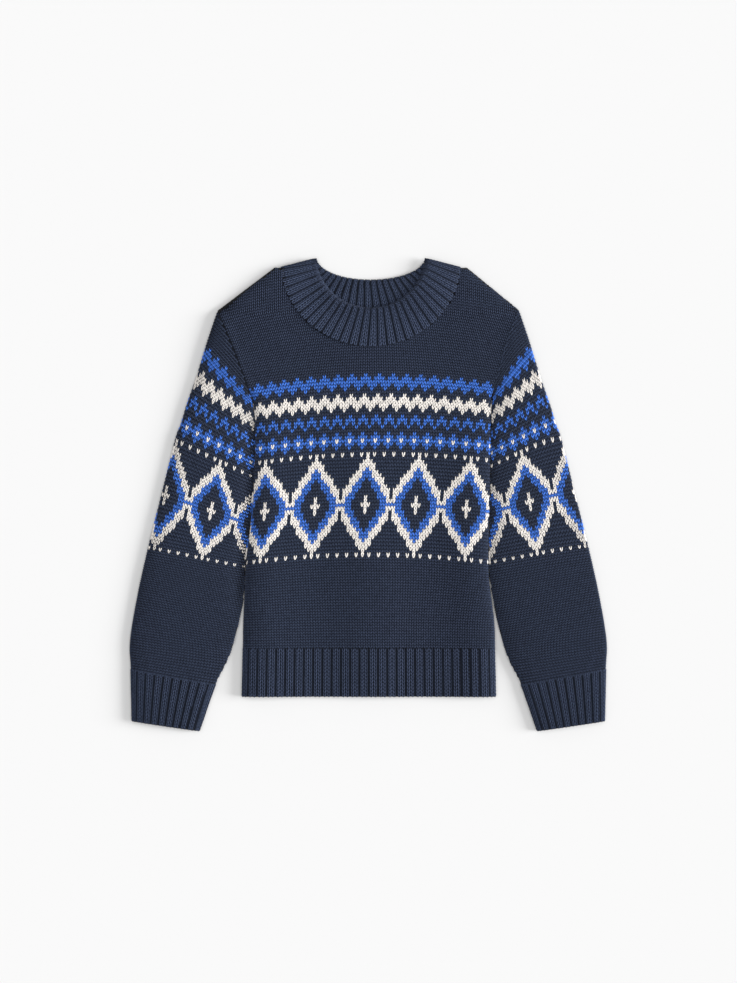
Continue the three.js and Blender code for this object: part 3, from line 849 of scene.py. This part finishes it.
def turn_shares(section, samples=900):
    """A function from a share of the way round a section to its turn."""
    turns = np.linspace(0, 2 * math.pi, samples)
    length = path_length(section(turns))
    return lambda share: np.interp(share * length[-1], length, turns)


def ring_cloth(name, rings, painted_light=CLOTH_PAINTED_LIGHT):
    """Rings joined one after another and back to the first: a tube's outside, end, inside and other end."""
    rings = np.array(rings)
    return closed_cloth(name, rings, grid_faces(rings.shape[0], rings.shape[1], True, True), painted_light)


def sleeve_cloth(name, hand):
    outside = []
    inside = []
    for place in np.linspace(TUCKED_PLACE, CUFF_TOP - CUFF_SEAM, SLEEVE_RINGS):
        shares = np.linspace(0, 1, RING_COLUMNS, endpoint=False)
        turns = turn_shares(lambda t: sleeve_points(hand, place, t, 0))(shares)
        depth = CLOTH_DEPTH + (TUCKED_DEPTH if place < 0 else 0)
        outside.append(sleeve_points(hand, place, turns, depth))
        inside.append(sleeve_points(hand, place, turns, WALL))
    return ring_cloth(name, outside + inside[::-1])


# Where a sleeve's rows lie: how far up the body they are at the outer and the inner fold, which slant more on
# the left, and the distance round the outer fold from its middle to the column of the diamond's tip.

SLEEVE_ROWS = {
    1: table_curves(
        {
            "row": [0, 2, 8, 19, 23, 37, 51, 71, 89, 100],
            "outer_y": [149.5, 143, 118.5, 73, 56.5, 3, -51, -99.2, -145.2, -174.2],
            "inner_y": [97.2, 95.2, 78.5, 41, 28.2, -18, -68, -118, -160.2, -189.8],
            "fold_to_tip": [-10, -9.4, -8, -5.1, -4, -0.2, 5, 11, 15, 18],
        }
    ),
    -1: table_curves(
        {
            "row": [0, 2, 8, 19, 23, 37, 51, 71, 89, 100],
            "outer_y": [149, 142, 117, 70.5, 54.5, 0.8, -52.5, -99.2, -145.2, -174.2],
            "inner_y": [96, 91, 70, 30, 17, -29.8, -72.3, -118, -160.2, -189.8],
            "fold_to_tip": [3, 3, 3.5, 3.5, 4, 6, 8.5, 12, 15, 17],
        }
    ),
}
ROW_SAG = {1: 1.25, -1: 1.0}  # above 1, rows are lower between the folds
SLEEVE_LAST_ROW = 100
SLEEVE_FIRST_COLUMN = -44
SLEEVE_LAST_COLUMN = 42
SLEEVE_STITCH = 3.06
INNER_FOLD_MARGIN = 1.2  # no stitch's middle is this near to the inner fold
CAP_ROWS = 12  # above the pattern
CAP_REACH = {1: 1.6, -1: -0.9}  # over the seam, which shows as a dark line on the right only
CAP_BELOW_ARMPIT = 4.0
RAY_HEIGHT = 100.0
PLACE_SAMPLES = 1200
ROW_SAMPLES = 1400


def row_places(hand, row):
    """The places along the sleeve of one row's ends, at the outer and the inner fold."""
    places = np.linspace(0, CUFF_TOP + 1, PLACE_SAMPLES)
    rows = SLEEVE_ROWS[hand]
    outer = np.interp(-rows["outer_y"](float(row)), -SLEEVE["outer_y"](places), places)
    inner = np.interp(-rows["inner_y"](float(row)), -SLEEVE["inner_y"](places), places)
    return outer, inner


def from_outer_fold(hand, row, columns):
    """The distances of columns round a row: above 0 over the top, below 0 underneath."""
    return columns * SLEEVE_STITCH + SLEEVE_ROWS[hand]["fold_to_tip"](float(row))


def sleeve_line(hand, row, columns):
    """Places of the columns round one row, and which of them may have a stitch."""
    def around(turns):
        share = (0.5 + 0.5 * np.cos(turns)) ** ROW_SAG[hand]
        return sleeve_points(hand, mix(inner_place, outer_place, share), turns, 0)

    outer_place, inner_place = row_places(hand, row)
    turns = np.linspace(-math.pi, math.pi, ROW_SAMPLES)
    length = path_length(around(turns))
    length -= np.interp(0, turns, length)
    wanted = from_outer_fold(hand, row, columns)
    inside = (wanted > length[0] + INNER_FOLD_MARGIN) & (wanted < length[-1] - INNER_FOLD_MARGIN)
    return around(np.interp(wanted, length, turns)), inside


def cap_line(hand, row, columns, cloth):
    """The same above the pattern: its top row moved up the outer fold, no further out than the cloth."""
    line, inside = sleeve_line(hand, 0, columns)
    first_place = row_places(hand, 0)[0]
    place = first_place * (1 + row / CAP_ROWS)
    at_fold = np.array([0.0])
    up = sleeve_points(hand, place, at_fold, 0)[0] - sleeve_points(hand, first_place, at_fold, 0)[0]
    line = line + up * [1, 1, 0]
    level = np.clip(line[:, 1], ARMPIT_Y, SHOULDER_TIP_Y)
    seam = hand * body_half(level) + body_middle(level)
    inside = inside & (hand * (line[:, 0] - seam) > -CAP_REACH[hand])
    inside = inside & (line[:, 1] > ARMPIT_Y - CAP_BELOW_ARMPIT)
    for i, over in enumerate(from_outer_fold(hand, 0, columns) > 0):
        side = 1 if over else -1
        start = Vector((*(line[i, :2] * MM), side * RAY_HEIGHT * MM))
        hit = cloth.ray_cast(start, Vector((0, 0, -side)))[0]
        if hit is not None:
            outside = hit.z / MM + side * CLOTH_DEPTH
            line[i, 2] = min(line[i, 2], outside) if over else max(line[i, 2], outside)
    return line, inside


def sleeve_knitting(name, hand, cloth, material, seed):
    columns = np.arange(SLEEVE_FIRST_COLUMN, SLEEVE_LAST_COLUMN + FORM_STEP, FORM_STEP)
    rows = np.arange(-CAP_ROWS, SLEEVE_LAST_ROW + 2, FORM_STEP)
    cloth_tree = BVHTree.FromObject(cloth, bpy.context.evaluated_depsgraph_get())
    lines = [cap_line(hand, row, columns, cloth_tree) for row in rows[rows < 0]]
    lines += [sleeve_line(hand, row, columns) for row in rows[rows >= 0]]
    points = np.array([line for line, _ in lines])[::-1]
    form = Form(columns, -rows[::-1], points, points - points.mean(axis=1, keepdims=True))
    stitched = np.array([inside for _, inside in lines])[::-1]
    stitched &= (form.columns == np.round(form.columns)) & (form.rows == np.round(form.rows))[:, None]
    stitched &= (form.rows >= -SLEEVE_LAST_ROW)[:, None]
    j, i = np.nonzero(stitched)
    column = form.columns[i]
    row = form.rows[j]
    yarns = [yarn_at(int(c), int(-r)) for c, r in zip(column, row)]
    return knitting(name, column, row, yarns, form, material, seed)


sleeve_wool = wool_material("worsted wool, sleeves")
for hand, side_name in ((1, "left"), (-1, "right")):
    sleeve = sleeve_cloth(f"sleeve_{side_name}_cloth", hand)
    sleeve.data.materials.append(sleeve_wool)
    stitches = sleeve_knitting(f"sleeve_{side_name}_stitches", hand, sleeve, sleeve_wool, seed=3 + hand)
    for piece in (sleeve, stitches):
        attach(piece, "root")
    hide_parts(f"sleeve_{side_name}")


# The ribs of the hem, cuffs and neckband: two raised columns of knit stitches and one sunken purl column.

RIB_STITCHES = 3
RIB_COLUMNS = [0.0, 0.455, 0.91, 1.0]  # where each column of a rib starts, as a share of the rib
RIB_CREST = 0.4
RIB_GROOVE = 1.4
RIB_GROOVE_WIDTH = 0.3  # in stitches
RIB_HOLLOW = 0.35
RIB_HOLLOW_WIDTH = 0.16
RIB_UNEVENNESS = 0.03
RIB_FORM_COLUMNS = 12  # of a form in each rib
RIB_CLOTH_COLUMNS = 8  # of the cloth in each rib
RIB_CLOTH_LEVELS = np.linspace(0, 1, 12)
RIB_CLOTH_DEPTH = 1.2
# How light the ribs' cloth is painted: painted shade in the grooves between the knit columns
RIB_CLOTH_PAINTED_LIGHT = 0.3
RIB_WALL = 3.2


def rib_share(column):
    """How far along the ribs a column is, in ribs."""
    rib = np.floor(column / RIB_STITCHES)
    return rib + np.interp(column - RIB_STITCHES * rib, range(RIB_STITCHES + 1), RIB_COLUMNS)


def rib_depth(column):
    """How far the surface is below the plain one: less than 0 along the knit columns."""
    within = column - RIB_STITCHES * np.floor(column / RIB_STITCHES)
    groove = bump((within - 2.5) / RIB_GROOVE_WIDTH) + bump((within + 0.5) / RIB_GROOVE_WIDTH)
    hollow = bump((within - 1) / RIB_HOLLOW_WIDTH)
    return mix(-RIB_CREST, RIB_GROOVE, np.clip(groove, 0, 1)) + RIB_HOLLOW * hollow


def rib_cloth_places(ribs, closed=True):
    """Shares of the way round a ribbed cloth, or across it, and the depths of its outside there."""
    columns = np.linspace(0, RIB_STITCHES * ribs, RIB_CLOTH_COLUMNS * ribs + 1)
    if closed:
        columns = columns[:-1]
    return rib_share(columns) / ribs, rib_depth(columns) + RIB_CLOTH_DEPTH


def ribbed_knitting(name, ribs, rows, place, material, seed, plain=False):
    """The knit columns of a ribbed piece. place gives its surface's points for shares round it and up it."""
    columns = np.linspace(0, RIB_STITCHES * ribs, RIB_FORM_COLUMNS * ribs + 1)
    form_rows = np.arange(-1, rows + 1 + FORM_STEP, FORM_STEP)
    share = rib_share(columns) / ribs
    depth = np.zeros(len(columns)) if plain else rib_depth(columns)
    points = np.array([place(share, row / rows, depth) for row in form_rows])
    core = np.array([place(share, row / rows, WALL / 2) for row in form_rows])
    form = Form(columns, form_rows, points, points - core)
    column, row = np.meshgrid(np.arange(RIB_STITCHES * ribs), np.arange(rows))
    knit = column.ravel() % RIB_STITCHES != RIB_STITCHES - 1
    column = column.ravel()[knit] + 0.5
    row = row.ravel()[knit] + 0.5
    navy = np.full(len(column), YARN_NUMBER["."])
    return knitting(name, column, row, navy, form, material, seed, PLAIN_V_STITCH, RIB_UNEVENNESS)


# The hem: a ribbed band of navy wool along the bottom of the front and the back, knitted before the panels.
# The back's ribs are plain, because it rests on the surface.

HEM_RIBS = 28
HEM_STITCH_ROWS = 14
HEM_SAMPLES = 1200


def hem_place(side):
    """A function for points of the hem, at shares of the way across it and up it."""
    def place(share, up, depth):
        y = mix(HEM_Y, RIB_TOP_Y - SEAM_GAP / 2, up)
        across = -np.cos(np.linspace(0, math.pi, HEM_SAMPLES))
        x = body_middle(y) + body_half(y) * across
        z = panel_height(side, x, np.full(len(x), y), 0)
        length = path_length(np.stack([x, z], axis=-1))
        at = np.interp(share * length[-1], length, across)
        x = body_middle(y) + (body_half(y) - depth) * at
        level = np.full(len(x), y)
        return np.stack([x, level, panel_height(side, x, level, depth)], axis=-1)

    return place


rib_wool = wool_material("worsted wool, ribs")
for side, side_name in ((1, "front"), (-1, "back")):
    place = hem_place(side)
    plain = side < 0
    share, ribbed_depth = rib_cloth_places(HEM_RIBS, closed=False)
    depth = RIB_CLOTH_DEPTH if plain else ribbed_depth
    outside = np.array([place(share, level, depth) for level in RIB_CLOTH_LEVELS])
    inside = np.array([place(share, level, RIB_WALL) for level in RIB_CLOTH_LEVELS])
    hem = panel_cloth(f"hem_rib_{side_name}_cloth", outside, inside, RIB_CLOTH_PAINTED_LIGHT)
    hem.data.materials.append(rib_wool)
    name = f"hem_rib_{side_name}_stitches"
    stitches = ribbed_knitting(name, HEM_RIBS, HEM_STITCH_ROWS, place, rib_wool, seed=10 + side, plain=plain)
    for piece in (hem, stitches):
        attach(piece, "root")
    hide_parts(f"hem_rib_{side_name}")


# The cuffs: short ribbed tubes of navy wool at the ends of the sleeves, drawn in a little. Their ribs are
# plain underneath, where they rest.

CUFF_RIBS = 20
CUFF_STITCH_ROWS = 15
CUFF_PLACES = 0.99
REST_TURNS = (1.1 * math.pi, 1.9 * math.pi)  # between these a tube rests on the surface


def resting_depth(turn, depth):
    """The depth of a tube's ribs, which don't stand out of its underside."""
    rests = (turn > REST_TURNS[0]) & (turn < REST_TURNS[1])
    return np.where(rests, np.maximum(depth, 0), depth)


def cuff_place(hand):
    """A function for points of a cuff, at shares of the way round it and up it."""
    def place(share, up, depth):
        at = CUFF_TOP + CUFF_SEAM + CUFF_PLACES * (1 - up)
        turn = turn_shares(lambda t: sleeve_points(hand, at, t, 0))(share)
        return sleeve_points(hand, at, turn, resting_depth(turn, depth))

    return place


for hand, side_name in ((1, "left"), (-1, "right")):
    place = cuff_place(hand)
    share, depth = rib_cloth_places(CUFF_RIBS)
    outside = [place(share, level, depth) for level in RIB_CLOTH_LEVELS]
    inside = [place(share, level, RIB_WALL) for level in RIB_CLOTH_LEVELS]
    cuff = ring_cloth(f"cuff_{side_name}_cloth", outside + inside[::-1], RIB_CLOTH_PAINTED_LIGHT)
    cuff.data.materials.append(rib_wool)
    name = f"cuff_{side_name}_stitches"
    stitches = ribbed_knitting(name, CUFF_RIBS, CUFF_STITCH_ROWS, place, rib_wool, seed=20 + hand)
    for piece in (cuff, stitches):
        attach(piece, "root")
    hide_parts(f"cuff_{side_name}")


# The neckband: a ribbed band of navy wool picked up round the neck, folded double to the inside and caught
# down there. Its outside lies on the front and stands a little above it.

NECK_FOLD = {"half": 56.6, "top": 236.1, "front": 49.0, "back": 20.6, "height": 12.4}
NECK_RIBS = 50
NECK_STITCH_ROWS = 22
BAND_WALL = 4.8
BAND_WIDTH = 34.0
NECK_FLATNESS = 4.0
FOLD_START = 0.46  # the shares of the band's length that its outside, and then its fold, take
FOLD_END = 0.54
BAND_LEVELS = [*np.linspace(0, FOLD_START, 10), 0.48, 0.5, 0.52, *np.linspace(FOLD_END, 1, 10)]


def neck_points(turn, share, depth):
    """Points of the neckband: share is 0 at its seam and 1 at its fold, turn starts at the wearer's left."""
    size = {name: mix(NECK_SEAM[name], NECK_FOLD[name], share) for name in NECK_SEAM}
    s = np.sin(turn)
    dip = np.where(s > 0, size["front"], size["back"])
    lift = np.sign(s) * np.abs(s) ** (2 / NECK_FLATNESS)
    x = NECK_MIDDLE + (size["half"] - depth) * np.cos(turn)
    y = size["top"] - dip * neck_dip(s)
    return np.stack([x, y, resting_height(size["height"] / 2, size["height"], depth, lift)], axis=-1)


def neck_place(share, along, depth):
    """Points of the band from its outer seam, over its fold and down inside, at shares of the way round."""
    over = math.pi * np.clip((along - FOLD_START) / (FOLD_END - FOLD_START), 0, 1)
    up = 1 - BAND_WALL / 2 / BAND_WIDTH
    if FOLD_START < along < FOLD_END:
        up = up + (BAND_WALL / 2 - np.mean(depth)) / BAND_WIDTH * math.sin(over)
    else:
        straight = along / FOLD_START if along < 0.5 else (1 - along) / (1 - FOLD_END)
        up = up * max(straight, 0)
    turn = turn_shares(lambda t: neck_points(t, up, 0))(share)
    outside = resting_depth(turn, depth) if over < 1 else depth
    return neck_points(turn, up, BAND_WALL / 2 - (BAND_WALL / 2 - outside) * math.cos(over))


share, depth = rib_cloth_places(NECK_RIBS)
rings = [neck_place(share, level, depth) for level in BAND_LEVELS]
# The band's wool is the body's navy yarn painted 1.3 times lighter, a painted highlight for a band that
# stands up into the light
neck_wool_painted_lighter = wool_material("worsted wool, neckband", light=1.3)
neckband = ring_cloth("neckband_cloth", rings, RIB_CLOTH_PAINTED_LIGHT)
neckband.data.materials.append(neck_wool_painted_lighter)
neck_stitches = ribbed_knitting("neckband_stitches", NECK_RIBS, NECK_STITCH_ROWS, neck_place, neck_wool_painted_lighter, 30)
for piece in (neckband, neck_stitches):
    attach(piece, "root")
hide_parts("neckband")


# A pale surface, a soft light from the wearer's left, a wider one from above, and a little light all round.

TABLE_HALF = 3000
TABLE_Z = -0.05
TABLE_COLOUR = "#ebebeb"
SKY_STRENGTH = 0.25
SOFT_LIGHTS = [
    {"name": "key", "towards": (1.0, 0.0, 0.40), "strength": 3.3, "angle": 28},
    {"name": "overhead", "towards": (0.0, 0.0, 1.0), "strength": 1.6, "angle": 60},
]

matt_white = bpy.data.materials.new("matt white table")
matt_white.use_nodes = True
tree = matt_white.node_tree
tree.nodes.clear()
look = {"Base Color": linear(TABLE_COLOUR), "Roughness": 0.9, "Specular IOR Level": 0.1}
shader = add_node(tree, "ShaderNodeBsdfPrincipled", look)
add_node(tree, "ShaderNodeOutputMaterial", {"Surface": shader.outputs["BSDF"]})

corners = [[x * TABLE_HALF, y * TABLE_HALF, TABLE_Z] for x, y in ((-1, -1), (1, -1), (1, 1), (-1, 1))]
table = new_object("table", corners, [(0, 1, 2, 3)])
table.data.materials.append(matt_white)

for light in SOFT_LIGHTS:
    data = bpy.data.lights.new(light["name"], "SUN")
    data.energy = light["strength"]
    data.angle = math.radians(light["angle"])
    data.cycles.max_bounces = 0  # no glow from the sleeves' sides on the table
    lamp = bpy.data.objects.new(light["name"], data)
    lamp.rotation_euler = Vector(light["towards"]).to_track_quat("Z", "Y").to_euler()
    bpy.context.scene.collection.objects.link(lamp)

world = bpy.data.worlds.new("studio")
world.use_nodes = True
sky = world.node_tree.nodes["Background"]
sky.inputs["Color"].default_value = (1.0, 1.0, 1.0, 1.0)
sky.inputs["Strength"].default_value = SKY_STRENGTH
bpy.context.scene.world = world
bpy.context.scene.view_settings.view_transform = "Standard"
